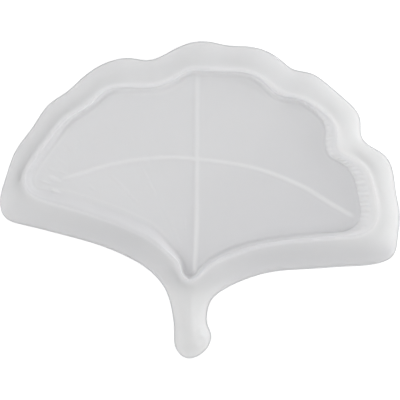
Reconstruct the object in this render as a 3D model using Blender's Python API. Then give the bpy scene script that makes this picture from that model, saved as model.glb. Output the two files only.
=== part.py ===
"""Ginkgo-leaf tray mould: one thin silicone shell, lying on its open rim with its back upwards.

The outside is a rounded band that follows the scalloped leaf and its stem. The middle of the leaf is a
recess, whose back is the raised plateau inside the mould. The band is the back of the moat that casts the
tray's edge. All sizes are in metres. The origin is at the middle of the base, with +Z up.
"""

import math

import bmesh
import bpy
import numpy as np
from mathutils.geometry import delaunay_2d_cdt

# Heights, from the open rim's plane
HEIGHT = 0.0150  # crest of the band, round the recess
RECESS_FLOOR = 0.0100  # upper face of the recess floor
FLOOR_RISE = 0.0025  # how much higher that face lies along the lower left side of the recess
LIP_HEIGHT = 0.0014

# Widths, measured in plan
LIP_WIDTH = 0.0008  # the lip's step outside the wall
SHELL = 0.0022  # silicone thickness
BAND_REACH = 0.0150  # the band climbs to its crest over this distance at most
CREST_FLAT = 0.0008  # level strip along the recess edge, on which the turned mould rests
WALL_RUN = 0.0012  # draft of the recess wall
RIGHT_RUN = 0.0060  # further draft at the right end
LEFT_RUN = 0.0020  # further draft at the left end
LOWER_RUN = 0.0045  # further draft along the lower left edge

# Where the recess wall's extra draft begins and is complete, along X
RIGHT_DRAFT = (0.052, 0.080)
LEFT_DRAFT = (0.055, 0.082)

# Where the lower left edge's draft begins and is complete, leftwards along X and downwards along Y
LOWER_DRAFT_X = (0.008, 0.030)
LOWER_DRAFT_Y = (-0.006, 0.003)

# The floor rises over this distance from its lower left side, and leftwards between these X
LOWER_LEFT_SIDE = (-0.0500, -0.0078)
INTO_RECESS = (0.42, 0.907)
RISE_WIDTH = 0.035
RISE_X = (0.000, 0.035)

# Section of the band: an upright wall, a rounded shoulder and an even slope up to the crest
SLOPE_SHARE = 0.5  # the slope's part of the height
SHOULDER_POWER = 8
SHOULDER_ROOT = 0.4
NARROWING = 6  # how sharply the climb shortens where the band is narrower than its reach

# The mesh
OUTLINE_STATIONS = 156
RECESS_STATIONS = 112
BOUNDARY_STATIONS = 2400  # samples of an edge, for the distance to it
SHOULDER_STEPS = (0.03, 0.08, 0.14, 0.20)  # shares of the reach
WALL_STEPS = (0.0, 0.15, 0.4, 0.6, 0.85, 1.0)  # shares of the way from the edge to the foot
BAND_GRID = 0.0034
FLOOR_GRID = 0.012

SILICONE_COLOUR = (0.86, 0.86, 0.87, 1.0)
SILICONE_ROUGHNESS = 0.42

# Outer edge of the open rim, anticlockwise from the middle of the top
LEAF_TOP_LEFT = [
    (-0.0005, 0.0792), (-0.0090, 0.0771), (-0.0170, 0.0730), (-0.0255, 0.0699), (-0.0345, 0.0709),
    (-0.0440, 0.0696), (-0.0535, 0.0650), (-0.0605, 0.0594), (-0.0665, 0.0540), (-0.0752, 0.0479),
    (-0.0836, 0.0363), (-0.0920, 0.0246), (-0.0972, 0.0105),
]
LEFT_TIP = [(-0.0998, -0.0005), (-0.0975, -0.0086), (-0.0880, -0.0127)]
LOWER_LEFT = [
    (-0.0700, -0.0172), (-0.0520, -0.0222), (-0.0370, -0.0282), (-0.0245, -0.0360), (-0.0169, -0.0457),
]
STEM = [
    (-0.0140, -0.0555), (-0.0130, -0.0650), (-0.0119, -0.0745), (-0.0063, -0.0792), (0.0007, -0.0772),
    (0.0050, -0.0722), (0.0058, -0.0670), (0.0040, -0.0620), (0.0040, -0.0560), (0.0056, -0.0508),
]
LOWER_RIGHT = [(0.0117, -0.0453), (0.0210, -0.0406), (0.0348, -0.0364), (0.0550, -0.0346), (0.0750, -0.0333)]
RIGHT_TIP = [(0.0890, -0.0319), (0.0968, -0.0278), (0.0989, -0.0200), (0.0998, -0.0060)]
LEAF_TOP_RIGHT = [
    (0.0980, 0.0044), (0.0967, 0.0138), (0.0927, 0.0221), (0.0855, 0.0269), (0.0814, 0.0308),
    (0.0801, 0.0408), (0.0733, 0.0498), (0.0636, 0.0581), (0.0555, 0.0633), (0.0465, 0.0655),
    (0.0403, 0.0702), (0.0335, 0.0743), (0.0250, 0.0766), (0.0135, 0.0773), (0.0065, 0.0788),
]
OUTLINE = LEAF_TOP_LEFT + LEFT_TIP + LOWER_LEFT + STEM + LOWER_RIGHT + RIGHT_TIP + LEAF_TOP_RIGHT

# Upper edge of the recess, anticlockwise from the middle of the top
RECESS_TOP_LEFT = [
    (0.0000, 0.0633), (-0.0055, 0.0630), (-0.0115, 0.0596), (-0.0181, 0.0562), (-0.0251, 0.0550),
    (-0.0341, 0.0550), (-0.0422, 0.0547), (-0.0477, 0.0524), (-0.0532, 0.0472), (-0.0603, 0.0425),
    (-0.0658, 0.0387), (-0.0723, 0.0309), (-0.0791, 0.0219), (-0.0835, 0.0151),
]
RECESS_LEFT_END = [(-0.0853, 0.0095), (-0.0833, 0.0045), (-0.0778, 0.0014)]
RECESS_LOWER_LEFT = [
    (-0.0683, -0.0016), (-0.0582, -0.0046), (-0.0488, -0.0078), (-0.0400, -0.0110), (-0.0316, -0.0148),
    (-0.0243, -0.0184), (-0.0184, -0.0229), (-0.0129, -0.0277),
]
PETIOLE_NOTCH = [
    (-0.0101, -0.0311), (-0.0085, -0.0362), (-0.0045, -0.0390), (-0.0008, -0.0368), (0.0030, -0.0331),
]
RECESS_LOWER_RIGHT = [
    (0.0109, -0.0280), (0.0201, -0.0243), (0.0305, -0.0216), (0.0422, -0.0197), (0.0562, -0.0184),
    (0.0703, -0.0174),
]
RECESS_RIGHT_END = [
    (0.0803, -0.0157), (0.0850, -0.0118), (0.0864, -0.0055), (0.0851, 0.0030), (0.0835, 0.0100),
]
RECESS_TOP_RIGHT = [
    (0.0801, 0.0161), (0.0748, 0.0196), (0.0693, 0.0221), (0.0663, 0.0258), (0.0666, 0.0324),
    (0.0640, 0.0392), (0.0567, 0.0452), (0.0502, 0.0489), (0.0442, 0.0501), (0.0392, 0.0512),
    (0.0346, 0.0547), (0.0291, 0.0595), (0.0236, 0.0620), (0.0131, 0.0628),
]
RECESS = (
    RECESS_TOP_LEFT + RECESS_LEFT_END + RECESS_LOWER_LEFT + PETIOLE_NOTCH
    + RECESS_LOWER_RIGHT + RECESS_RIGHT_END + RECESS_TOP_RIGHT
)


def clear_scene():
    for obj in list(bpy.data.objects):
        bpy.data.objects.remove(obj, do_unlink=True)


def closed_spline(points, count):
    """Evenly spaced points on the smooth closed cubic through `points`, parametrised by chord length."""
    knots = np.array(points)
    ahead = np.roll(knots, -1, axis=0)
    chord = np.linalg.norm(ahead - knots, axis=1)
    behind = np.roll(chord, 1)
    size = len(knots)
    rows = np.arange(size)
    system = np.diag(2 * (chord + behind))
    system[rows, (rows + 1) % size] = chord
    system[rows, rows - 1] = behind
    slope = (ahead - knots) / chord[:, None]
    bend = np.linalg.solve(system, 6 * (slope - np.roll(slope, 1, axis=0)))
    t = np.linspace(0, 1, 60, endpoint=False)[None, :, None]
    cubic = ((1 - t) ** 3 - (1 - t)) * bend[:, None] + (t**3 - t) * np.roll(bend, -1, axis=0)[:, None]
    fine = knots[:, None] * (1 - t) + ahead[:, None] * t + chord[:, None, None] ** 2 / 6 * cubic
    fine = fine.reshape(-1, 2)
    fine = np.vstack([fine, fine[:1]])
    run = np.concatenate([[0], np.cumsum(np.linalg.norm(np.diff(fine, axis=0), axis=1))])
    stations = np.linspace(0, run[-1], count, endpoint=False)
    return np.stack([np.interp(stations, run, fine[:, axis]) for axis in (0, 1)], axis=1)


def inward_normals(loop):
    """Unit normals of an anticlockwise loop, pointing inside it."""
    along = np.roll(loop, -1, axis=0) - np.roll(loop, 1, axis=0)
    along /= np.linalg.norm(along, axis=1)[:, None]
    return np.stack([-along[:, 1], along[:, 0]], axis=1)


def inset(loop, width):
    return loop + width * inward_normals(loop)


def smooth_distance(points, boundary):
    """Distance from a closed boundary, softened so that a narrow strip between two sides has no ridge.

    It comes from the sum of 1 / distance^4 along the boundary, scaled to be exact beside a straight edge.
    """
    step = np.linalg.norm(boundary - np.roll(boundary, 1, axis=0), axis=1)
    total = np.zeros(len(points))
    for start in range(0, len(points), 500):
        gap = points[start:start + 500, None] - boundary[None]
        total[start:start + 500] = (step / (gap**2).sum(axis=2) ** 2).sum(axis=1)
    return (math.pi / 2 / total) ** (1 / 3)


def band_height(points, wall, edge, reach, height):
    """Height of the band at each point between its outer wall and the recess edge."""
    from_wall = smooth_distance(points, wall)
    across = from_wall + np.maximum(smooth_distance(points, edge) - CREST_FLAT, 0)
    climb = (across**-NARROWING + reach**-NARROWING) ** (-1 / NARROWING)
    share = np.clip(from_wall / climb, 0, 1)
    shoulder = (1 - (1 - share) ** SHOULDER_POWER) ** SHOULDER_ROOT
    return height * ((1 - SLOPE_SHARE) * shoulder + SLOPE_SHARE * share)


def smoothstep(low, high, value):
    t = np.clip((value - low) / (high - low), 0, 1)
    return t * t * (3 - 2 * t)


def recess_foot(edge):
    """The foot of the recess wall below each point of its upper edge."""
    lower = smoothstep(*LOWER_DRAFT_X, -edge[:, 0]) * smoothstep(*LOWER_DRAFT_Y, -edge[:, 1])
    foot = edge + (WALL_RUN + LOWER_RUN * lower)[:, None] * inward_normals(edge)
    foot[:, 0] -= RIGHT_RUN * smoothstep(*RIGHT_DRAFT, edge[:, 0])
    foot[:, 0] += LEFT_RUN * smoothstep(*LEFT_DRAFT, -edge[:, 0])
    return foot


def inside(points, loop):
    """Which points lie inside a loop, by counting the loop's crossings of a ray along +X."""
    x, y = points[:, 0, None], points[:, 1, None]
    ax, ay = loop[:, 0], loop[:, 1]
    bx, by = np.roll(ax, -1), np.roll(ay, -1)
    spans = (ay > y) != (by > y)
    rise = np.where(by == ay, 1.0, by - ay)
    return (spans & (x < ax + (y - ay) * (bx - ax) / rise)).sum(axis=1) % 2 == 1


def hexagonal_grid(low, high, spacing):
    rows = np.arange(low[1], high[1], spacing * math.sqrt(0.75))
    columns = np.arange(low[0], high[0], spacing)
    x, y = np.meshgrid(columns, rows)
    x[1::2] += spacing / 2
    return np.stack([x.ravel(), y.ravel()], axis=1)


def add_loop(bm, points, heights):
    heights = np.broadcast_to(heights, len(points))
    return [bm.verts.new((x, y, z)) for (x, y), z in zip(points, heights)]


def plan(verts):
    return np.array([vert.co.xy for vert in verts])


def join(bm, first, second):
    """A strip of quads between two loops with the same number of points."""
    for i in range(len(first)):
        bm.faces.new((first[i - 1], first[i], second[i], second[i - 1]))


def join_all(bm, loops):
    for first, second in zip(loops, loops[1:]):
        join(bm, first, second)


def fill(bm, rim, hole, spacing, height_at):
    """Triangles inside the rim and outside the hole, which may be an empty list, over a hexagonal grid."""
    border = rim + hole
    rim_plan, border_plan = plan(rim), plan(border)
    grid = hexagonal_grid(rim_plan.min(axis=0), rim_plan.max(axis=0), spacing)
    gap = np.linalg.norm(grid[:, None] - border_plan[None], axis=2).min(axis=1)
    keep = inside(grid, rim_plan) & (gap > 0.6 * spacing)
    if hole:
        keep &= ~inside(grid, plan(hole))
    verts = border + add_loop(bm, grid[keep], height_at(grid[keep]))
    split = len(rim)
    edges = [(i, (i + 1) % split) for i in range(split)]
    edges += [(split + i, split + (i + 1) % len(hole)) for i in range(len(hole))]
    positions = [vert.co.xy for vert in verts]
    _, _, faces, origins, _, _ = delaunay_2d_cdt(positions, edges, [], 0, 1e-9, True)
    corners = [[verts[origins[i][0]] for i in face] for face in faces]
    middles = np.array([plan(face).mean(axis=0) for face in corners])
    wanted = inside(middles, rim_plan)
    if hole:
        wanted &= ~inside(middles, plan(hole))
    for face in np.flatnonzero(wanted):
        bm.faces.new(corners[face])


def floor_rise(points):
    """How far the recess floor rises towards the lower left side."""
    from_side = (points - LOWER_LEFT_SIDE) @ INTO_RECESS
    return FLOOR_RISE * (1 - smoothstep(0, RISE_WIDTH, from_side)) * smoothstep(*RISE_X, -points[:, 0])


def add_shoulder(bm, wall, reach, height_at):
    """Loops that climb the band from its outer wall."""
    rings = [inset(wall, share * reach) for share in SHOULDER_STEPS]
    return [add_loop(bm, ring, height_at(ring)) for ring in rings]


def add_recess(bm, edge, foot, top, floor):
    """Loops down the recess wall, whose slope eases in and out at the edge and the foot."""
    steps = np.array(WALL_STEPS)
    drop = top - floor - floor_rise(foot)
    shares = smoothstep(0, 1, steps)
    return [add_loop(bm, edge + step * (foot - edge), top - share * drop) for step, share in zip(steps, shares)]


def build_skin(bm, wall_inset, height, floor, shift):
    """One face of the shell, from the foot of its band to the middle of its floor.

    The recess edge and foot are moved outwards by `shift`. It returns the band's lowest loop.
    """
    wall = inset(closed_spline(OUTLINE, OUTLINE_STATIONS), wall_inset)
    fine_wall = inset(closed_spline(OUTLINE, BOUNDARY_STATIONS), wall_inset)
    edge = closed_spline(RECESS, RECESS_STATIONS)
    fine_edge = inset(closed_spline(RECESS, BOUNDARY_STATIONS), -shift)
    foot = recess_foot(edge) - shift * inward_normals(edge)
    edge = inset(edge, -shift)
    reach = BAND_REACH - shift

    def height_at(points):
        return band_height(points, fine_wall, fine_edge, reach, height)

    climb = add_shoulder(bm, wall, reach, height_at)
    crest = add_loop(bm, inset(edge, -CREST_FLAT), height)
    recess = add_recess(bm, edge, foot, height, floor)
    join_all(bm, climb)
    join_all(bm, [crest] + recess)
    fill(bm, climb[-1], crest, BAND_GRID, height_at)
    fill(bm, recess[-1], [], FLOOR_GRID, lambda points: floor + floor_rise(points))
    return climb[0]


def build_shell():
    """The whole shell as one closed mesh: outer skin, inner skin and the rim with its lip between them."""
    bm = bmesh.new()
    outline = closed_spline(OUTLINE, OUTLINE_STATIONS)
    outer_foot = build_skin(bm, LIP_WIDTH, HEIGHT, RECESS_FLOOR, 0)
    inner_foot = build_skin(bm, LIP_WIDTH + SHELL, HEIGHT - SHELL, RECESS_FLOOR - SHELL, SHELL)
    rim = [
        add_loop(bm, inset(outline, LIP_WIDTH + SHELL), 0),
        add_loop(bm, outline, 0),
        add_loop(bm, outline, LIP_HEIGHT),
        add_loop(bm, inset(outline, LIP_WIDTH), LIP_HEIGHT),
    ]
    join_all(bm, [inner_foot] + rim + [outer_foot])
    bmesh.ops.recalc_face_normals(bm, faces=bm.faces)
    return bm


def centre_in_plan(bm):
    """Moves the shell so that the origin is at the middle of its box."""
    points = plan(bm.verts)
    middle = (points.min(axis=0) + points.max(axis=0)) / 2
    bmesh.ops.translate(bm, vec=(-middle[0], -middle[1], 0), verts=bm.verts)


def silicone():
    material = bpy.data.materials.new("silicone")
    material.use_nodes = True
    shader = material.node_tree.nodes["Principled BSDF"]
    shader.inputs["Base Color"].default_value = SILICONE_COLOUR
    shader.inputs["Roughness"].default_value = SILICONE_ROUGHNESS
    shader.inputs["Metallic"].default_value = 0.0
    return material


def make_mould():
    bm = build_shell()
    centre_in_plan(bm)
    mesh = bpy.data.meshes.new("silicone_mould")
    bm.to_mesh(mesh)
    bm.free()
    mesh.shade_smooth()
    mesh.set_sharp_from_angle(angle=math.radians(50))
    mesh.materials.append(silicone())
    mould = bpy.data.objects.new("silicone_mould", mesh)
    bpy.context.scene.collection.objects.link(mould)
    return mould


clear_scene()
make_mould()
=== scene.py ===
import math

import bmesh
import bpy
import numpy as np
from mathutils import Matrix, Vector, kdtree
from mathutils.geometry import delaunay_2d_cdt


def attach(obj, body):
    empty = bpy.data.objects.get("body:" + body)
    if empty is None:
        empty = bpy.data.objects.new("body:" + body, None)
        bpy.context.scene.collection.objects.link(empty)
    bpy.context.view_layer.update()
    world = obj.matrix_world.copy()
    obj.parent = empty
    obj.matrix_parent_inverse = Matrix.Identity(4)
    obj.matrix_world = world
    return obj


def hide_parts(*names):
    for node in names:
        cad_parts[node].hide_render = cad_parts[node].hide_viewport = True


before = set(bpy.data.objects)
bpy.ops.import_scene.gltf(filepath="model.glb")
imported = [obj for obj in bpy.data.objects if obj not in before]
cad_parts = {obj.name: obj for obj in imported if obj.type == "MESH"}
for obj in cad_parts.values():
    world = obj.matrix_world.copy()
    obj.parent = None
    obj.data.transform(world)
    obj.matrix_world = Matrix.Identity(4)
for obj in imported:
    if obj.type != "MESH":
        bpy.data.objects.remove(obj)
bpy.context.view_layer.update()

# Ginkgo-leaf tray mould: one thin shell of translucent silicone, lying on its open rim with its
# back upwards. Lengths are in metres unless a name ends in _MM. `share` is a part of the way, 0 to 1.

# Heights, from the open rim's plane
HEIGHT = 0.0150  # crest of the band, round the recess
RECESS_FLOOR = 0.0100  # upper face of the recess floor
LIP_HEIGHT = 0.0014

# Widths, measured in plan
LIP_WIDTH = 0.0008
LIP_ROUND = 0.0003
LIP_CREASE = 0.00008  # how far the lip's last loop stays off the wall
SHELL = 0.0022
BAND_REACH = 0.0150
CREST_FLAT = 0.0004  # level strip outside the recess edge
WALL_RUN = 0.0012  # draft of the recess wall, and its further draft at each end and at the lower left
RIGHT_RUN = 0.0060
LEFT_RUN = 0.0020
LOWER_RUN = 0.0045
EASING = 2.2  # the right end's wall slopes away gently at first, by this power
CREST_FILLET = 0.0005
FOOT_FILLET = 0.0016

# Where the wall's further draft begins and is complete: rightwards, leftwards, and downwards
RIGHT_DRAFT = (0.052, 0.080)
LEFT_DRAFT = (0.055, 0.082)
LOWER_DRAFT_X = (0.008, 0.030)
LOWER_DRAFT_Y = (-0.006, 0.003)

# The floor rises towards the lower left side of the recess
FLOOR_RISE = 0.0025
RISE_WIDTH = 0.035
RISE_X = (0.000, 0.035)
LOWER_LEFT_SIDE = (-0.0500, -0.0078)  # a point on that side
INTO_RECESS = (0.42, 0.907)  # the direction square to it

# Section of the band: an upright wall, a rounded shoulder and an even slope up to the crest
SLOPE_SHARE = 0.5
SHOULDER_POWER = 8
SHOULDER_ROOT = 0.4
NARROWING = 6

# Tone of the silicone's base colour, from 0 dullest to 1 whitest: a plain tone for each region, with
# painted light and painted shade added on top
BAND_WHITENESS = 0.40
# Painted light on the stem and on the right end, which faces the key light, and painted shade on the
# lower bands, which face away from the lights
STEM_PAINTED_LIGHT = 0.48
RIGHT_END_PAINTED_LIGHT = 0.60
LOWER_BAND_PAINTED_SHADE = 0.40
FLOOR_WHITENESS = 0.34
# Painted shade over the recess floor, darker towards the lower right
FLOOR_PAINTED_SHADE = 0.32
# Painted light on the floor at the foot of the recess wall, filling the shade there
FOOT_PAINTED_LIGHT = 0.20
FOOT_REACH = 0.0022  # how far over the floor the painted light at the foot of the wall reaches
# Painted light along the raised veins, standing in for light scattered through the thicker silicone
VEIN_PAINTED_LIGHT = 0.60
FULL_VEIN_MM = 0.35  # the height at which a vein's painted light is full
# Painted light down the steep recess walls, which lie in shade
WALL_PAINTED_LIGHT = 0.45
# Painted shade along the crest, offsetting its highlight
CREST_PAINTED_SHADE = 0.42
# Painted shade down the soft walls at the left and lower left, which face the lights
SOFT_WALL_PAINTED_SHADE = 0.30

# Where each painted light or painted shade begins and is complete. The names say which way it goes.
STEM_DOWN = (0.038, 0.050)
RIGHT_END_RIGHT = (0.045, 0.090)
RIGHT_END_UP = (-0.028, -0.010)
LOWER_RIGHT_RIGHT = (0.000, 0.030)
LOWER_RIGHT_DOWN = (0.012, 0.030)
LOWER_LEFT_LEFT = (0.000, 0.040)
LOWER_LEFT_DOWN = (0.000, 0.020)
FLOOR_ACROSS = (-0.040, 0.050)  # along 0.7 x - y
WALL_LEFT = (0.030, 0.060)
WALL_DOWN = (0.010, 0.020)

# The mesh
BOUNDARY_STATIONS = 4800
SHOULDER_STEPS = (0.005, 0.010, 0.018, 0.030, 0.045, 0.065, 0.09, 0.12, 0.16, 0.20)
NEAR = (0.0006, 0.0012)  # a ring's own distance to the wall is used below this, a softened one above
RELIEF_FROM_WALL = (0.0008, 0.0035)  # the band's waviness fades in over this distance
ARC_STEPS = 5
WALL_STEPS = 7
LIP_STEPS = 3
OUTER_STATIONS = {"outline": 900, "recess": 1100}
INNER_STATIONS = {"outline": 450, "recess": 440}
OUTER_GRID = {"band": 0.00090, "floor": 0.00072}
INNER_GRID = {"band": 0.0020, "floor": 0.0015}
RIM_GRID = 0.004
SHARP_ANGLE = 50  # degrees

# Outer edge of the open rim, anticlockwise from the middle of the top
LEAF_TOP_LEFT = [
    (-0.0005, 0.0792), (-0.0090, 0.0771), (-0.0170, 0.0730), (-0.0255, 0.0699), (-0.0345, 0.0709),
    (-0.0440, 0.0696), (-0.0535, 0.0650), (-0.0605, 0.0594), (-0.0665, 0.0540), (-0.0752, 0.0479),
    (-0.0836, 0.0363), (-0.0920, 0.0246), (-0.0972, 0.0105),
]
LEFT_TIP = [(-0.0998, -0.0005), (-0.0975, -0.0086), (-0.0880, -0.0127)]
LOWER_LEFT = [
    (-0.0700, -0.0172), (-0.0520, -0.0222), (-0.0370, -0.0282), (-0.0245, -0.0360), (-0.0169, -0.0457),
]
STEM = [
    (-0.0140, -0.0555), (-0.0130, -0.0650), (-0.0119, -0.0745), (-0.0063, -0.0792), (0.0007, -0.0772),
    (0.0050, -0.0722), (0.0058, -0.0670), (0.0040, -0.0620), (0.0040, -0.0560), (0.0056, -0.0508),
]
LOWER_RIGHT = [
    (0.0117, -0.0453), (0.0210, -0.0406), (0.0348, -0.0364), (0.0550, -0.0346), (0.0750, -0.0333),
]
RIGHT_TIP = [(0.0890, -0.0319), (0.0968, -0.0278), (0.0989, -0.0200), (0.0998, -0.0060)]
LEAF_TOP_RIGHT = [
    (0.0980, 0.0044), (0.0967, 0.0138), (0.0927, 0.0221), (0.0855, 0.0269), (0.0814, 0.0308),
    (0.0801, 0.0408), (0.0733, 0.0498), (0.0636, 0.0581), (0.0555, 0.0633), (0.0465, 0.0655),
    (0.0403, 0.0702), (0.0335, 0.0743), (0.0250, 0.0766), (0.0135, 0.0773), (0.0065, 0.0788),
]
OUTLINE = LEAF_TOP_LEFT + LEFT_TIP + LOWER_LEFT + STEM + LOWER_RIGHT + RIGHT_TIP + LEAF_TOP_RIGHT

# Upper edge of the recess, anticlockwise from the middle of the top
RECESS_TOP_LEFT = [
    (0.0000, 0.0633), (-0.0055, 0.0630), (-0.0115, 0.0596), (-0.0181, 0.0562), (-0.0251, 0.0550),
    (-0.0341, 0.0550), (-0.0422, 0.0547), (-0.0477, 0.0524), (-0.0532, 0.0472), (-0.0603, 0.0425),
    (-0.0658, 0.0387), (-0.0723, 0.0309), (-0.0791, 0.0219), (-0.0835, 0.0151),
]
RECESS_LEFT_END = [(-0.0853, 0.0095), (-0.0833, 0.0045), (-0.0778, 0.0014)]
RECESS_LOWER_LEFT = [
    (-0.0683, -0.0016), (-0.0582, -0.0046), (-0.0488, -0.0078), (-0.0400, -0.0110), (-0.0316, -0.0148),
    (-0.0243, -0.0184), (-0.0184, -0.0229), (-0.0129, -0.0277),
]
PETIOLE_NOTCH = [
    (-0.0101, -0.0311), (-0.0085, -0.0362), (-0.0045, -0.0390), (-0.0008, -0.0368), (0.0030, -0.0331),
]
RECESS_LOWER_RIGHT = [
    (0.0109, -0.0280), (0.0201, -0.0243), (0.0305, -0.0216), (0.0422, -0.0197), (0.0562, -0.0184),
    (0.0703, -0.0174),
]
RECESS_RIGHT_END = [
    (0.0803, -0.0157), (0.0850, -0.0118), (0.0864, -0.0055), (0.0851, 0.0030), (0.0835, 0.0100),
]
RECESS_TOP_RIGHT = [
    (0.0801, 0.0161), (0.0748, 0.0196), (0.0693, 0.0221), (0.0663, 0.0258), (0.0666, 0.0324),
    (0.0640, 0.0392), (0.0567, 0.0452), (0.0502, 0.0489), (0.0442, 0.0501), (0.0392, 0.0512),
    (0.0346, 0.0547), (0.0291, 0.0595), (0.0236, 0.0620), (0.0131, 0.0628),
]
RECESS = (
    RECESS_TOP_LEFT + RECESS_LEFT_END + RECESS_LOWER_LEFT + PETIOLE_NOTCH
    + RECESS_LOWER_RIGHT + RECESS_RIGHT_END + RECESS_TOP_RIGHT
)

# Raised lines: the points of a smooth path, a width and a height, all in millimetres
MIDRIB = [(-1.3, 66), (-1.3, 40), (-1.4, 10), (-1.8, -20), (-2.6, -40)]
ARC_VEIN = [
    (-71.0, 9.3), (-59.1, 13.0), (-44.3, 17.4), (-27.0, 20.3), (-10.7, 20.9), (10.0, 18.8), (28.8, 15.2),
    (49.5, 7.2), (65.0, -2.0), (78.0, -9.4),
]
RIDGES_MM = [
    (MIDRIB, 3.4, 0.42),
    (ARC_VEIN, 3.2, 0.42),
    ([(-28.6, 17.5), (-25.0, 9.5), (-20.8, 0.5)], 1.3, 0.30),
    ([(-20.8, 0.5), (-14.0, -12.0), (-8.5, -25.0)], 1.1, 0.14),
    ([(-45.5, 13.5), (-40.6, 9.3), (-34.4, 3.0), (-29.5, -2.6)], 1.3, 0.26),
    ([(-7.4, -7.5), (-6.8, -16.0)], 1.1, 0.2),
    ([(-75.5, 13.0), (-66.0, 7.9)], 2.0, 0.5),
    ([(-75.0, 6.0), (-66.5, 2.8)], 2.0, 0.5),
    ([(-79.5, 10.0), (-70.9, 7.4)], 1.6, 0.34),
    ([(-75.5, 16.4), (-70.0, 13.2)], 1.5, 0.28),
    ([(-71.0, 15.3), (-63.0, 11.6)], 1.5, 0.28),
    ([(-70.0, 20.2), (-64.6, 16.3)], 1.5, 0.26),
    ([(-70.4, 23.8), (-65.4, 19.2)], 1.4, 0.22),
    ([(-66.8, 28.0), (-61.8, 23.2)], 1.4, 0.26),
    ([(-63.9, 28.0), (-59.0, 23.2)], 1.4, 0.26),
    ([(-60.6, 31.5), (-57.2, 26.5)], 1.3, 0.18),
    ([(-55.0, 7.6), (-51.0, 4.2)], 1.4, 0.24),
]
KEEL_MM = ([(-4.2, -38), (-4.1, -52), (-4.0, -64), (-4.2, -74)], 6.0, 0.35)
STEM_LINES_MM = [([(0.9, -51), (0.9, -61)], 1.0, 0.16), ([(2.3, -53), (2.2, -62)], 1.0, 0.14)]
STEM_BUMPS_MM = [  # place, radius and height
    (0.3, -64.0, 1.3, 0.5), (2.0, -66.9, 1.5, 0.8), (-1.2, -71.8, 1.6, 0.4),
]
RIB_PITCH_MM = 2.7
RIB_DEPTH_MM = 0.16
STRONG_RIB_DEPTH_MM = 0.30  # added at the right end
LEFT_RIB_SHARE = 0.3
VEIN_ORIGIN_MM = (-4.9, -37.6)  # where the radial veins meet, at the top of the stem

# The silicone
# Ends of the base-colour mix; the tone attribute between them carries painted light and painted shade
DULL_END_COLOURS = ((0.790, 0.790, 0.805, 1), (0.815, 0.815, 0.830, 1))
WHITE_END_COLOURS = ((0.950, 0.950, 0.955, 1), (0.980, 0.980, 0.985, 1))
DULL_END_MOTTLE, WHITE_END_MOTTLE, SATIN_MOTTLE, GRAIN = 45, 160, 120, 1400  # noise scales
ROUGHNESS = (0.40, 0.56)
GRAIN_STRENGTH = 0.12
GRAIN_HEIGHT = 0.0002
SILICONE_IOR = 1.41
SCATTER_RADIUS = (1.0, 0.98, 0.97)
SCATTER_SCALE = 0.0025

# The studio
STUDIO_WHITE = (0.92, 0.92, 0.92, 1)
STUDIO_ROUGHNESS = 0.9
STUDIO_SIZE = 6
STUDIO_GLOW = 0.5  # seen by the camera only, so it lights nothing
WORLD_STRENGTH = 0.20
LENS, SENSOR = 126, 36
CAMERA_PLACE = (0.00015, -0.0001, 0.7)  # over the leaf's own origin

# Soft lights round the mould: azimuth and elevation in degrees, distance, size and power in watts
LIGHTS = {
    "key_right": (0, 8, 1.5, 0.8, 9.8),
    "fill_right": (0, 45, 1.5, 0.8, 1.4),
    "near_right": (0, 40, 0.45, 0.3, 0.21),
    "low_upper_right": (60, 8, 1.5, 0.8, 2.3),
    "near_upper_right": (60, 40, 0.45, 0.3, 0.08),
    "near_top": (110, 40, 0.45, 0.3, 0.28),
    "low_upper_left": (120, 8, 1.5, 0.8, 2.8),
    "fill_left": (180, 45, 1.5, 0.8, 4.0),
    "low_lower_left": (240, 20, 1.5, 0.8, 2.4),
    "fill_lower_left": (240, 45, 1.5, 0.8, 4.1),
    "overhead": (0, 90, 1.5, 0.8, 0.8),
}


def closed_spline(points, count):
    """Evenly spaced points on the smooth closed cubic through `points`, by chord length."""
    knots = np.array(points)
    ahead = np.roll(knots, -1, axis=0)
    chord = np.linalg.norm(ahead - knots, axis=1)
    behind = np.roll(chord, 1)
    size = len(knots)
    rows = np.arange(size)
    system = np.diag(2 * (chord + behind))
    system[rows, (rows + 1) % size] = chord
    system[rows, rows - 1] = behind
    slope = (ahead - knots) / chord[:, None]
    bend = np.linalg.solve(system, 6 * (slope - np.roll(slope, 1, axis=0)))
    t = np.linspace(0, 1, 60, endpoint=False)[None, :, None]
    cubic = ((1 - t) ** 3 - (1 - t)) * bend[:, None] + (t**3 - t) * np.roll(bend, -1, axis=0)[:, None]
    fine = knots[:, None] * (1 - t) + ahead[:, None] * t + chord[:, None, None] ** 2 / 6 * cubic
    fine = fine.reshape(-1, 2)
    fine = np.vstack([fine, fine[:1]])
    run = np.concatenate([[0], np.cumsum(np.linalg.norm(np.diff(fine, axis=0), axis=1))])
    stations = np.linspace(0, run[-1], count, endpoint=False)
    return np.stack([np.interp(stations, run, fine[:, axis]) for axis in (0, 1)], axis=1)


def open_curve(points, steps=10):
    """Smooth open curve through the points, as a polyline."""
    knots = np.array(points, dtype=float)
    if len(knots) == 2:
        return knots
    padded = np.vstack([2 * knots[0] - knots[1], knots, 2 * knots[-1] - knots[-2]])
    t = np.linspace(0, 1, steps, endpoint=False)[:, None]
    spans = []
    for a, b, c, d in zip(padded, padded[1:], padded[2:], padded[3:]):
        cubic = 3 * (b - c) + d - a
        spans.append(b + 0.5 * t * (c - a + t * (2 * a - 5 * b + 4 * c - d + t * cubic)))
    return np.vstack(spans + [knots[-1:]])


def inward_normals(loop):
    along = np.roll(loop, -1, axis=0) - np.roll(loop, 1, axis=0)
    along /= np.linalg.norm(along, axis=1)[:, None]
    return np.stack([-along[:, 1], along[:, 0]], axis=1)


def inset(loop, width):
    return loop + width * inward_normals(loop)


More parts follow.
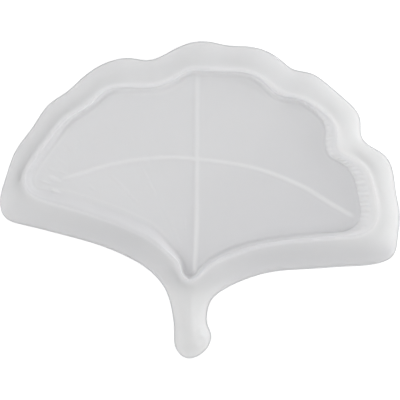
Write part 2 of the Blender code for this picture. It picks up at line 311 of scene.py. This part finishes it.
def smooth_distance(points, boundary):
    """Distance from a closed boundary, softened so that a strip between two sides has no ridge."""
    step = np.linalg.norm(boundary - np.roll(boundary, 1, axis=0), axis=1)
    total = np.zeros(len(points))
    for start in range(0, len(points), 500):
        gap = points[start:start + 500, None] - boundary[None]
        total[start:start + 500] = (step / (gap**2).sum(axis=2) ** 2).sum(axis=1)
    return (math.pi / 2 / total) ** (1 / 3)


def smoothstep(low, high, value):
    t = np.clip((value - low) / (high - low), 0, 1)
    return t * t * (3 - 2 * t)


def inside(points, loop):
    """Which points lie inside a loop, by counting the loop's crossings of a ray along +X."""
    ax, ay = loop[:, 0], loop[:, 1]
    bx, by = np.roll(ax, -1), np.roll(ay, -1)
    rise = np.where(by == ay, 1.0, by - ay)
    found = np.zeros(len(points), dtype=bool)
    for start in range(0, len(points), 4000):
        x, y = points[start:start + 4000, 0, None], points[start:start + 4000, 1, None]
        spans = (ay > y) != (by > y)
        crossed = spans & (x < ax + (y - ay) * (bx - ax) / rise)
        found[start:start + 4000] = crossed.sum(axis=1) % 2 == 1
    return found


def hexagonal_grid(low, high, spacing):
    rows = np.arange(low[1], high[1], spacing * math.sqrt(0.75))
    columns = np.arange(low[0], high[0], spacing)
    x, y = np.meshgrid(columns, rows)
    x[1::2] += spacing / 2
    return np.stack([x.ravel(), y.ravel()], axis=1)


def value_noise(points, cell, seed):
    """Smooth noise from -1 to 1, with features about `cell` across."""
    table = np.random.default_rng(seed).uniform(-1, 1, (64, 64))
    place = points / cell
    low = np.floor(place).astype(int)
    t = place - low
    t = t * t * (3 - 2 * t)
    i, j = low[:, 0] % 64, low[:, 1] % 64
    k, m = (i + 1) % 64, (j + 1) % 64
    lower = table[i, j] * (1 - t[:, 0]) + table[k, j] * t[:, 0]
    upper = table[i, m] * (1 - t[:, 0]) + table[k, m] * t[:, 0]
    return lower * (1 - t[:, 1]) + upper * t[:, 1]


def ridge(points, path, width, height):
    """Height of a raised line with a rounded section, which fades out over its ends."""
    line = open_curve(path)
    start, span = line[:-1], np.diff(line, axis=0)
    length = np.linalg.norm(span, axis=1)
    run = np.concatenate([[0], np.cumsum(length)])
    reach = width / 2
    lift = np.zeros(len(points))
    low, high = line.min(axis=0) - reach, line.max(axis=0) + reach
    near = np.flatnonzero(((points > low) & (points < high)).all(axis=1))
    gap = points[near, None] - start[None]
    share = np.clip((gap * span).sum(axis=2) / length**2, 0, 1)
    away = np.linalg.norm(gap - share[..., None] * span, axis=2)
    closest = away.argmin(axis=1)
    rows = np.arange(len(near))
    away = away[rows, closest]
    along = run[closest] + share[rows, closest] * length[closest]
    fade = np.minimum(2 * width, run[-1] / 2)
    ends = smoothstep(0, fade, along) * smoothstep(0, fade, run[-1] - along)
    lift[near] = height * np.maximum(1 - (away / reach) ** 2, 0) ** 1.5 * ends
    return lift


def vein_lift(mm):
    lift = np.zeros(len(mm))
    for path, width, height in RIDGES_MM:
        lift = np.maximum(lift, ridge(mm, path, width, height))
    return lift


def vein_whiteness(points):
    # Painted light along the veins, standing in for light scattered through the thicker silicone
    return np.clip(vein_lift(points * 1000) / FULL_VEIN_MM, 0, 1) * VEIN_PAINTED_LIGHT


def band_whiteness(points):
    """Painted light at the stem and at the right end, and painted shade along the lower bands."""
    x, y = points[:, 0], points[:, 1]
    stem = smoothstep(*STEM_DOWN, -y)
    right = smoothstep(*RIGHT_END_RIGHT, x) * smoothstep(*RIGHT_END_UP, y)
    lower_right = smoothstep(*LOWER_RIGHT_RIGHT, x) * smoothstep(*LOWER_RIGHT_DOWN, -y)
    lower_left = smoothstep(*LOWER_LEFT_LEFT, -x) * smoothstep(*LOWER_LEFT_DOWN, -y) * (1 - stem)
    # Painted light on the stem and on the right end, which faces the key light
    painted_light = np.maximum(STEM_PAINTED_LIGHT * stem, RIGHT_END_PAINTED_LIGHT * right)
    # Painted shade along the lower bands, which face away from the lights
    painted_shade = LOWER_BAND_PAINTED_SHADE * np.maximum(lower_right * (1 - right), lower_left)
    return BAND_WHITENESS + painted_light - painted_shade


def plain_floor_whiteness(points):
    """Painted shade, darker towards the lower right."""
    return FLOOR_WHITENESS - FLOOR_PAINTED_SHADE * smoothstep(*FLOOR_ACROSS, 0.7 * points[:, 0] - points[:, 1])


def floor_whiteness(points, foot):
    """Painted light near the foot of the wall and on the veins."""
    # Painted light near the foot of the wall, filling the shade there
    near = 1 - smoothstep(0.0, FOOT_REACH, smooth_distance(points, foot))
    return np.maximum(vein_whiteness(points), plain_floor_whiteness(points) + FOOT_PAINTED_LIGHT * near)


def wall_whiteness(edge, share, past_foot, ease, lower):
    """Painted shade at the crest and where the wall is soft, and painted light down a steep wall."""
    left = smoothstep(*WALL_LEFT, -edge[:, 0])
    below = smoothstep(*WALL_DOWN, -edge[:, 1])
    # Painted light down the steep recess walls, which lie in shade
    painted_wall_light = WALL_PAINTED_LIGHT * smoothstep(0.25, 0.65, share) * (1 - 0.6 * smoothstep(0, 1, past_foot))
    painted_wall_light = painted_wall_light * (1 - lower) * (1 - 0.8 * left) * (1 - 0.7 * below)
    plain = band_whiteness(edge) * (1 - share) + plain_floor_whiteness(edge) * share
    # Painted shade along the crest, offsetting its highlight
    plain = plain - CREST_PAINTED_SHADE * (1 - smoothstep(0, 0.5, share)) * (1 - 0.6 * ease)
    # Painted shade down the soft walls at the left and lower left, which face the lights
    plain = plain - SOFT_WALL_PAINTED_SHADE * np.maximum(lower, left) * np.sin(math.pi * share)
    return plain + (1 - plain) * painted_wall_light


def floor_rise(points):
    """How far the floor rises towards the lower left side of the recess."""
    from_side = (points - LOWER_LEFT_SIDE) @ INTO_RECESS
    return FLOOR_RISE * (1 - smoothstep(0, RISE_WIDTH, from_side)) * smoothstep(*RISE_X, -points[:, 0])


def floor_relief(points):
    """Veins and ripples of the recess floor."""
    mm = points * 1000
    lift = vein_lift(mm)
    ray = mm - VEIN_ORIGIN_MM
    angle = np.arctan2(ray[:, 0], ray[:, 1])
    out = np.linalg.norm(ray, axis=1)
    strands = np.sin(angle * 95 + 1.5 * value_noise(mm, 30, 3)) * smoothstep(18, 40, out)
    patches = smoothstep(0.0, 0.7, value_noise(np.stack([angle * 40, out], axis=1), 14, 5))
    lift += 0.035 * strands * patches
    lift += 0.05 * value_noise(mm, 11, 7) + 0.015 * value_noise(mm, 2.5, 8)
    return lift / 1000


def wall_relief(edge, share, ease):
    """Ribs across the recess wall; `share` runs from 0 at the edge to 1 at the foot."""
    mm = edge * 1000
    run = np.concatenate([[0], np.cumsum(np.linalg.norm(np.diff(mm, axis=0), axis=1))])
    wander = value_noise(np.stack([run, 0 * run], axis=1), 9, 11)
    right = smoothstep(22, 50, mm[:, 0]) * smoothstep(-17.5, -13, mm[:, 1])
    strong = smoothstep(66, 78, mm[:, 0]) * smoothstep(-12, 2, mm[:, 1])
    left = LEFT_RIB_SHARE * smoothstep(45, 60, -mm[:, 0]) * smoothstep(8, 14, mm[:, 1])
    depth = (RIB_DEPTH_MM + STRONG_RIB_DEPTH_MM * strong) * np.maximum(right, left)
    ribs = np.sin(2 * math.pi * run / RIB_PITCH_MM + 0.9 * wander)
    start = 0.35 * ease
    window = np.sin(math.pi * np.clip((share - start) / (1 - start), 0, 1)) ** 0.8
    return depth * ribs * window / 1000


def band_relief(points):
    """Slight waviness of the band, and the stem's keel, bumps and fine lines."""
    mm = points * 1000
    lift = 0.06 * value_noise(mm, 13, 21) + 0.02 * value_noise(mm, 4, 22)
    stem = smoothstep(-42, -52, mm[:, 1])
    lift += stem * ridge(mm, *KEEL_MM)
    for x, y, radius, height in STEM_BUMPS_MM:
        lift += height * np.exp(-((mm[:, 0] - x) ** 2 + (mm[:, 1] - y) ** 2) / radius**2)
    for line in STEM_LINES_MM:
        lift += ridge(mm, *line)
    return lift / 1000


class Skin:
    """Vertices and faces of a mesh in the making. A loop is an array of vertex numbers."""

    def __init__(self):
        self.points, self.whiteness, self.faces, self.count = [], [], [], 0

    def loop(self, plan, heights, whiteness=0.0):
        heights = np.broadcast_to(heights, len(plan))
        self.points.append(np.column_stack([plan, heights]))
        self.whiteness.append(np.broadcast_to(whiteness, len(plan)))
        self.count += len(plan)
        return np.arange(self.count - len(plan), self.count)

    def plan(self, numbers):
        return np.vstack(self.points)[numbers, :2]

    def join(self, loops):
        for first, second in zip(loops, loops[1:]):
            ahead_first, ahead_second = np.roll(first, -1), np.roll(second, -1)
            self.faces.append(np.column_stack([first, ahead_first, ahead_second, second]))

    def fill(self, rim, hole, spacing, height_at, whiteness_at=None):
        """Triangles inside the rim and outside the hole, over a hexagonal grid of points."""
        border = np.concatenate([rim, hole]).astype(int)
        rim_plan, border_plan = self.plan(rim), self.plan(border)
        grid = hexagonal_grid(rim_plan.min(axis=0), rim_plan.max(axis=0), spacing)
        tree = kdtree.KDTree(len(border_plan))
        for number, (x, y) in enumerate(border_plan):
            tree.insert((x, y, 0), number)
        tree.balance()
        keep = inside(grid, rim_plan)
        if len(hole):
            keep &= ~inside(grid, self.plan(hole))
        grid = grid[keep]
        gap = np.array([tree.find((x, y, 0))[2] for x, y in grid])
        grid = grid[gap > 0.6 * spacing]
        whiteness = whiteness_at(grid) if whiteness_at else 0.0
        numbers = np.concatenate([border, self.loop(grid, height_at(grid), whiteness)])
        split = len(rim)
        edges = [(i, (i + 1) % split) for i in range(split)]
        edges += [(split + i, split + (i + 1) % len(hole)) for i in range(len(hole))]
        positions = [Vector(place) for place in np.vstack([border_plan, grid])]
        _, _, faces, origins, _, _ = delaunay_2d_cdt(positions, edges, [], 0, 1e-9, True)
        corners = np.array([[origins[i][0] for i in face] for face in faces])
        middles = np.vstack([border_plan, grid])[corners].mean(axis=1)
        wanted = inside(middles, rim_plan)
        if len(hole):
            wanted &= ~inside(middles, self.plan(hole))
        self.faces.append(numbers[corners[wanted]])


def recess_foot(edge, lower, shift):
    """The foot of the recess wall below each point of its upper edge."""
    foot = edge + (WALL_RUN - shift + LOWER_RUN * lower)[:, None] * inward_normals(edge)
    foot[:, 0] -= RIGHT_RUN * smoothstep(*RIGHT_DRAFT, edge[:, 0])
    foot[:, 0] += LEFT_RUN * smoothstep(*LEFT_DRAFT, -edge[:, 0])
    return foot


def wall_profile(run, drop, tilt):
    """Steps down the wall, as offset and fall: an arc, a straight slope, and an arc at the foot."""
    upper, lower_arc = CREST_FILLET * np.tan(tilt / 2), FOOT_FILLET * np.tan(tilt / 2)
    slope = np.hypot(run, drop)
    profile = []
    for step in range(ARC_STEPS + 1):
        turn = tilt * step / ARC_STEPS
        profile.append((-upper + CREST_FILLET * np.sin(turn), -CREST_FILLET * (1 - np.cos(turn))))
    for step in range(1, WALL_STEPS):
        gone = (upper + (slope - upper - lower_arc) * step / WALL_STEPS) / slope
        profile.append((gone * run, -gone * drop))
    for step in range(ARC_STEPS + 1):
        turn = tilt * (1 - step / ARC_STEPS)
        offset = run + lower_arc - FOOT_FILLET * np.sin(turn)
        profile.append((offset, -drop + FOOT_FILLET * (1 - np.cos(turn))))
    return profile, lower_arc


def add_recess_wall(skin, edge, foot, lower, height, floor):
    """Loops down the recess wall, from its upper edge to just past its foot."""
    across = foot - edge
    run = np.linalg.norm(across, axis=1)
    across /= run[:, None]
    foot_rise = floor_rise(foot)
    drop = height - floor - foot_rise
    tilt = np.arctan2(drop, run)
    profile, lower_arc = wall_profile(run, drop, tilt)
    edge_relief = band_relief(edge)
    ease = smoothstep(*RIGHT_DRAFT, edge[:, 0])
    loops = []
    for offset, fall in profile:
        share = np.clip(offset / run, 0, 1)
        fall = (1 - ease) * fall - ease * drop * share**EASING
        fall = (1 - lower) * fall - lower * drop * smoothstep(0, 1, share)
        ribs = wall_relief(edge, share, ease)
        plan = edge + across * (offset + ribs * np.sin(tilt))[:, None]
        depth = np.clip(-fall / drop, 0, 1)
        settled = smoothstep(0.8, 1, depth)
        lift = edge_relief * (1 - depth) + (floor_relief(plan) + floor_rise(plan) - foot_rise) * settled
        past_foot = np.clip((offset - run) / lower_arc, 0, 1)
        whiteness = wall_whiteness(edge, share, past_foot, ease, lower)
        # Painted light on the veins where the wall settles into the floor
        whiteness = np.maximum(whiteness, vein_whiteness(plan) * settled)
        loops.append(skin.loop(plan, height + fall + ribs * np.cos(tilt) + lift, whiteness))
    return loops


def build_skin(skin, stations, grid, wall_inset, height, floor, shift):
    """One face of the shell, from the foot of its band to the middle of its floor.

    The recess edge is moved outwards by `shift`. It returns the band's lowest loop.
    """
    wall = inset(closed_spline(OUTLINE, stations["outline"]), wall_inset)
    fine_wall = inset(closed_spline(OUTLINE, BOUNDARY_STATIONS), wall_inset)
    edge = closed_spline(RECESS, stations["recess"])
    fine_edge = inset(closed_spline(RECESS, BOUNDARY_STATIONS), -shift)
    lower = smoothstep(*LOWER_DRAFT_X, -edge[:, 0]) * smoothstep(*LOWER_DRAFT_Y, -edge[:, 1])
    foot = recess_foot(edge, lower, shift)
    edge = inset(edge, -shift)
    reach = BAND_REACH - shift

    def height_at(points, ring=None):
        from_wall = smooth_distance(points, fine_wall)
        if ring is not None:
            blend = smoothstep(*NEAR, ring)
            from_wall = ring * (1 - blend) + from_wall * blend
        across = from_wall + np.maximum(smooth_distance(points, fine_edge) - CREST_FLAT, 0)
        climb = (across**-NARROWING + reach**-NARROWING) ** (-1 / NARROWING)
        share = np.clip(from_wall / climb, 0, 1)
        shoulder = (1 - (1 - share) ** SHOULDER_POWER) ** SHOULDER_ROOT
        level = height * ((1 - SLOPE_SHARE) * shoulder + SLOPE_SHARE * share)
        return level + band_relief(points) * smoothstep(*RELIEF_FROM_WALL, from_wall)

    climb = []
    for share in SHOULDER_STEPS:
        ring = inset(wall, share * reach)
        climb.append(skin.loop(ring, height_at(ring, share * reach), band_whiteness(ring)))
    crest_plan = inset(edge, -CREST_FLAT)
    # Painted shade along the crest, offsetting its highlight
    crest = skin.loop(crest_plan, height_at(crest_plan), band_whiteness(crest_plan) - CREST_PAINTED_SHADE)
    recess = [crest] + add_recess_wall(skin, edge, foot, lower, height, floor)
    skin.join(climb)
    skin.join(recess)
    skin.fill(climb[-1], crest, grid["band"], height_at, band_whiteness)
    inner_foot = skin.plan(recess[-1])
    skin.fill(
        recess[-1], [], grid["floor"],
        lambda points: floor + floor_rise(points) + floor_relief(points),
        lambda points: floor_whiteness(points, inner_foot),
    )
    return climb[0]


def build_shell():
    """The whole shell: outer skin, inner skin and the rim with its lip between them."""
    skin = Skin()
    outer = build_skin(skin, OUTER_STATIONS, OUTER_GRID, LIP_WIDTH, HEIGHT, RECESS_FLOOR, 0)
    inner_wall, inner_height, inner_floor = LIP_WIDTH + SHELL, HEIGHT - SHELL, RECESS_FLOOR - SHELL
    inner = build_skin(skin, INNER_STATIONS, INNER_GRID, inner_wall, inner_height, inner_floor, SHELL)
    outline = closed_spline(OUTLINE, OUTER_STATIONS["outline"])
    lip = [skin.loop(outline, 0.0), skin.loop(outline, LIP_HEIGHT - LIP_ROUND)]
    for step in range(1, LIP_STEPS + 1):
        turn = math.pi / 2 * step / LIP_STEPS
        ring = inset(outline, LIP_ROUND * (1 - math.cos(turn)))
        lip.append(skin.loop(ring, LIP_HEIGHT - LIP_ROUND * (1 - math.sin(turn))))
    lip.append(skin.loop(inset(outline, LIP_WIDTH - LIP_CREASE), LIP_HEIGHT - LIP_CREASE / 4))
    skin.join(lip + [outer])
    mouth = inset(closed_spline(OUTLINE, INNER_STATIONS["outline"]), inner_wall)
    mouth = skin.loop(mouth, 0.0)
    skin.join([inner, mouth])
    skin.fill(lip[0], mouth, RIM_GRID, lambda points: np.zeros(len(points)))
    return skin


def make_mould():
    """The mould, moved so that its middle is at the origin. Returns it with the middle it had."""
    skin = build_shell()
    points = np.vstack(skin.points)
    middle = (points.min(axis=0) + points.max(axis=0))[:2] / 2
    points[:, :2] -= middle
    mesh = bpy.data.meshes.new("silicone_shell")
    mesh.from_pydata(points.tolist(), [], [face for faces in skin.faces for face in faces.tolist()])
    mesh.validate()
    mould = bpy.data.objects.new("silicone_shell", mesh)
    bpy.context.scene.collection.objects.link(mould)
    bm = bmesh.new()
    bm.from_mesh(mesh)
    bmesh.ops.recalc_face_normals(bm, faces=bm.faces)
    bm.to_mesh(mesh)
    bm.free()
    # Tone attribute for the base colour, carrying painted light and painted shade
    whiteness = mesh.attributes.new("whiteness", "FLOAT", "POINT")
    whiteness.data.foreach_set("value", np.concatenate(skin.whiteness).astype(np.float32))
    mesh.shade_smooth()
    mesh.set_sharp_from_angle(angle=math.radians(SHARP_ANGLE))
    return mould, middle


def silicone():
    """Translucent silicone: satin and faintly mottled, its base colour mixed by the tone attribute,
    which carries painted light and painted shade.
    """
    material = bpy.data.materials.new("translucent_silicone")
    material.use_nodes = True
    nodes, links = material.node_tree.nodes, material.node_tree.links
    shader = nodes["Principled BSDF"]
    place = nodes.new("ShaderNodeTexCoord").outputs["Object"]

    def noise(scale, detail=2.0):
        texture = nodes.new("ShaderNodeTexNoise")
        texture.inputs["Scale"].default_value = scale
        texture.inputs["Detail"].default_value = detail
        links.new(place, texture.inputs["Vector"])
        return texture.outputs["Fac"]

    def mix(factor, first, second):
        node = nodes.new("ShaderNodeMix")
        node.data_type = "RGBA"
        links.new(factor, node.inputs["Factor"])
        for socket, value in (("A", first), ("B", second)):
            colour = [i for i in node.inputs if i.name == socket and i.type == "RGBA"][0]
            if isinstance(value, tuple):
                colour.default_value = value
            else:
                links.new(value, colour)
        return [o for o in node.outputs if o.type == "RGBA"][0]

    # The tone attribute, with its painted light and painted shade, mixes the base colour
    whiteness = nodes.new("ShaderNodeAttribute")
    whiteness.attribute_name = "whiteness"
    dull_end = mix(noise(DULL_END_MOTTLE), *DULL_END_COLOURS)
    white_end = mix(noise(WHITE_END_MOTTLE), *WHITE_END_COLOURS)
    links.new(mix(whiteness.outputs["Fac"], dull_end, white_end), shader.inputs["Base Color"])

    satin = nodes.new("ShaderNodeMapRange")
    satin.inputs["To Min"].default_value, satin.inputs["To Max"].default_value = ROUGHNESS
    links.new(noise(SATIN_MOTTLE, 4.0), satin.inputs["Value"])
    links.new(satin.outputs["Result"], shader.inputs["Roughness"])

    grain = nodes.new("ShaderNodeBump")
    grain.inputs["Strength"].default_value = GRAIN_STRENGTH
    grain.inputs["Distance"].default_value = GRAIN_HEIGHT
    links.new(noise(GRAIN, 3.0), grain.inputs["Height"])
    links.new(grain.outputs["Normal"], shader.inputs["Normal"])

    shader.inputs["IOR"].default_value = SILICONE_IOR
    shader.inputs["Subsurface Weight"].default_value = 1.0
    shader.inputs["Subsurface Radius"].default_value = SCATTER_RADIUS
    shader.inputs["Subsurface Scale"].default_value = SCATTER_SCALE
    return material


def area_light(name, azimuth, elevation, distance, size, power):
    data = bpy.data.lights.new(name, "AREA")
    data.shape = "DISK"
    data.size = size
    data.energy = power
    lamp = bpy.data.objects.new(name, data)
    a, e = math.radians(azimuth), math.radians(elevation)
    place = Vector((math.cos(a) * math.cos(e), math.sin(a) * math.cos(e), math.sin(e))) * distance
    lamp.location = place
    lamp.rotation_euler = (-place).to_track_quat("-Z", "Y").to_euler()
    bpy.context.scene.collection.objects.link(lamp)


def studio_paint():
    """Pale matt paint, which glows a little for camera rays so that it reads pure white."""
    material = bpy.data.materials.new("studio_floor")
    material.use_nodes = True
    nodes, links = material.node_tree.nodes, material.node_tree.links
    shader = nodes["Principled BSDF"]
    shader.inputs["Base Color"].default_value = STUDIO_WHITE
    shader.inputs["Roughness"].default_value = STUDIO_ROUGHNESS
    shader.inputs["Emission Color"].default_value = (1, 1, 1, 1)
    seen = nodes.new("ShaderNodeLightPath")
    glow = nodes.new("ShaderNodeMath")
    glow.operation = "MULTIPLY"
    glow.inputs[1].default_value = STUDIO_GLOW
    links.new(seen.outputs["Is Camera Ray"], glow.inputs[0])
    links.new(glow.outputs[0], shader.inputs["Emission Strength"])
    return material


def add_floor():
    bpy.ops.mesh.primitive_plane_add(size=STUDIO_SIZE, location=(0, 0, 0))
    floor = bpy.context.object
    floor.name = "studio_floor"
    floor.data.materials.append(studio_paint())
    return floor


def add_world():
    world = bpy.data.worlds.new("studio")
    world.use_nodes = True
    world.node_tree.nodes["Background"].inputs["Color"].default_value = (1, 1, 1, 1)
    world.node_tree.nodes["Background"].inputs["Strength"].default_value = WORLD_STRENGTH
    bpy.context.scene.world = world


def add_camera(middle):
    """A camera straight above the mould."""
    data = bpy.data.cameras.new("camera")
    data.lens = LENS
    data.sensor_width = SENSOR
    camera = bpy.data.objects.new("camera", data)
    x, y, z = CAMERA_PLACE
    camera.location = (x - middle[0], y - middle[1], z)
    bpy.context.scene.collection.objects.link(camera)
    bpy.context.scene.camera = camera


mould, middle = make_mould()
mould.data.materials.append(silicone())
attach(mould, "root")
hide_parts("silicone_mould")

add_floor()
add_world()
for name, placing in LIGHTS.items():
    area_light(name, *placing)
add_camera(middle)
bpy.context.scene.view_settings.view_transform = "Standard"
